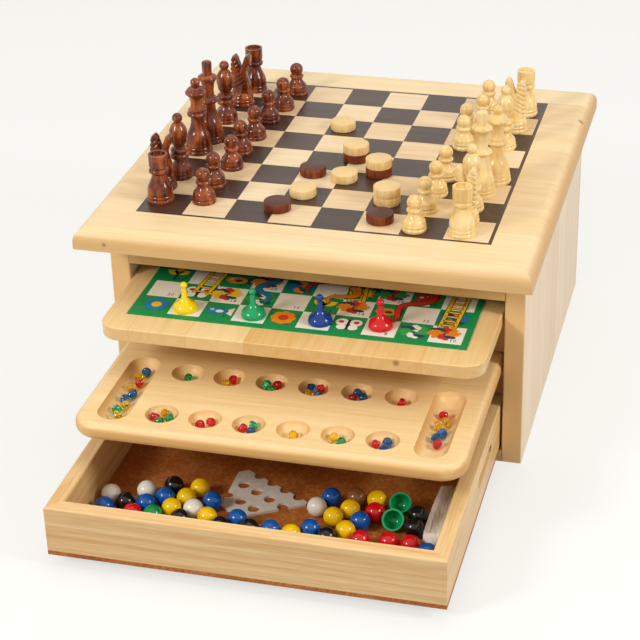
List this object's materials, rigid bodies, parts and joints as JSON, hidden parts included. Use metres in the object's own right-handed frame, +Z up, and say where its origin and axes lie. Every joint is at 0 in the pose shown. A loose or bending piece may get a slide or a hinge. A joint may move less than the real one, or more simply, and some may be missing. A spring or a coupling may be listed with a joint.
{
  "type": "games compendium box",
  "caption": "Pale wooden games box: inlaid chessboard top with turned men, two sliding game trays for a snakes-and-ladders card and mancala, and a drawer of loose playing pieces.",
  "frame": {"origin": "centre of the underside of the case", "axes": "+Z up, +Y from the open front to the back panel, +X to the right of someone facing the front"},
  "size_m": [0.29, 0.427, 0.2153],
  "materials": {
    "case_wood": "clear-lacquered pale solid wood, straight grain",
    "paint_black": "gloss-painted turned wooden ball",
    "paint_blue": "gloss-painted turned wooden ball",
    "paint_brown": "gloss-painted turned wooden ball",
    "paint_green": "gloss-painted turned wooden ball",
    "paint_red": "gloss-painted turned wooden ball",
    "paint_white": "gloss-painted turned wooden ball",
    "paint_yellow": "gloss-painted turned wooden ball",
    "dark_men_wood": "turned hardwood, red-brown stain, satin lacquer",
    "pale_men_wood": "turned pale hardwood, satin lacquer",
    "hidden_wood": "bare planed softwood strips and beech dowels",
    "dark_veneer": "dark stained veneer, flush and lacquered",
    "pale_veneer": "pale veneer, flush and lacquered",
    "plastic_blue": "gloss moulded plastic",
    "plastic_green": "gloss moulded plastic",
    "plastic_red": "gloss moulded plastic",
    "plastic_yellow": "gloss moulded plastic",
    "drawer_wood": "clear-lacquered pale solid wood",
    "hardboard": "thin reddish-brown hardboard",
    "screw_steel": "zinc-plated steel",
    "glass_blue": "clear coloured glass bead",
    "glass_green": "clear coloured glass bead",
    "glass_red": "clear coloured glass bead",
    "glass_yellow": "clear coloured glass bead",
    "tray_wood": "clear-lacquered pale solid wood, sanded smooth",
    "bag_film": "crumpled clear film bag with paper inside",
    "white_card": "punched white card",
    "printed_card": null
  },
  "bodies": {
    "case": {"back_panel": "case_wood", "bottom_board": "case_wood", "case_dowels": "hidden_wood", "chess_squares_dark": "dark_veneer", "chess_squares_pale": "pale_veneer", "chessboard_border": "dark_veneer", "front_rail": "case_wood", "lower_runner_left": "hidden_wood", "lower_runner_right": "hidden_wood", "side_panel_left": "case_wood", "side_panel_right": "case_wood", "strip_screws": "screw_steel", "top_board": "case_wood", "top_board_screws": "screw_steel", "top_cleat_left": "hidden_wood", "top_cleat_right": "hidden_wood", "upper_runner_left": "hidden_wood", "upper_runner_right": "hidden_wood"},
    "upper_tray": {"snakes_and_ladders_card": "printed_card", "upper_tray_board": "tray_wood"},
    "lower_tray": {"gems_blue": "glass_blue", "gems_green": "glass_green", "gems_red": "glass_red", "gems_yellow": "glass_yellow", "lower_tray_board": "tray_wood"},
    "drawer": {"balls_black": "paint_black", "balls_blue": "paint_blue", "balls_brown": "paint_brown", "balls_green": "paint_green", "balls_red": "paint_red", "balls_white": "paint_white", "balls_yellow": "paint_yellow", "drawer_back": "drawer_wood", "drawer_bottom": "hardboard", "drawer_bottom_pins": "screw_steel", "drawer_dowels": "hidden_wood", "drawer_front": "drawer_wood", "drawer_side_left": "drawer_wood", "drawer_side_right": "drawer_wood", "green_cups": "plastic_green", "parts_bag": "bag_film", "pierced_card": "white_card"},
    "chess_dark": {"bishops_dark": "dark_men_wood", "king_dark": "dark_men_wood", "knights_dark": "dark_men_wood", "pawns_dark": "dark_men_wood", "queen_dark": "dark_men_wood", "rooks_dark": "dark_men_wood"},
    "chess_pale": {"bishops_pale": "pale_men_wood", "king_pale": "pale_men_wood", "knights_pale": "pale_men_wood", "pawns_pale": "pale_men_wood", "queen_pale": "pale_men_wood", "rooks_pale": "pale_men_wood"},
    "draughts": {"draughts_dark": "dark_men_wood", "draughts_pale": "pale_men_wood"},
    "counter_blue": {"counter_blue": "plastic_blue"},
    "counter_green": {"counter_green": "plastic_green"},
    "counter_red": {"counter_red": "plastic_red"},
    "counter_yellow": {"counter_yellow": "plastic_yellow"}
  },
  "joints": [
    {"name": "board_lower_slide", "type": "slide", "parent": "case", "child": "lower_tray", "axis": [0, -1, 0], "range_m": [-0.124, 0.026]},
    {"name": "board_upper_slide", "type": "slide", "parent": "case", "child": "upper_tray", "axis": [0, -1, 0], "range_m": [-0.026, 0.053]},
    {"name": "drawer_slide", "type": "slide", "parent": "case", "child": "drawer", "axis": [0, -1, 0], "range_m": [-0.17, 0.02]},
    {"name": "lift_chess_dark", "type": "slide", "parent": "case", "child": "chess_dark", "axis": [0, 0, 1], "range_m": [0, 0.07]},
    {"name": "lift_chess_pale", "type": "slide", "parent": "case", "child": "chess_pale", "axis": [0, 0, 1], "range_m": [0, 0.07]},
    {"name": "lift_draughts", "type": "slide", "parent": "case", "child": "draughts", "axis": [0, 0, 1], "range_m": [0, 0.07]},
    {"name": "lift_counter_blue", "type": "slide", "parent": "upper_tray", "child": "counter_blue", "axis": [0, -0.8, 0.6], "range_m": [0, 0.06]},
    {"name": "lift_counter_green", "type": "slide", "parent": "upper_tray", "child": "counter_green", "axis": [0, -0.8, 0.6], "range_m": [0, 0.06]},
    {"name": "lift_counter_red", "type": "slide", "parent": "upper_tray", "child": "counter_red", "axis": [0, -0.8, 0.6], "range_m": [0, 0.06]},
    {"name": "lift_counter_yellow", "type": "slide", "parent": "upper_tray", "child": "counter_yellow", "axis": [0, -0.8, 0.6], "range_m": [0, 0.06]}
  ]
}
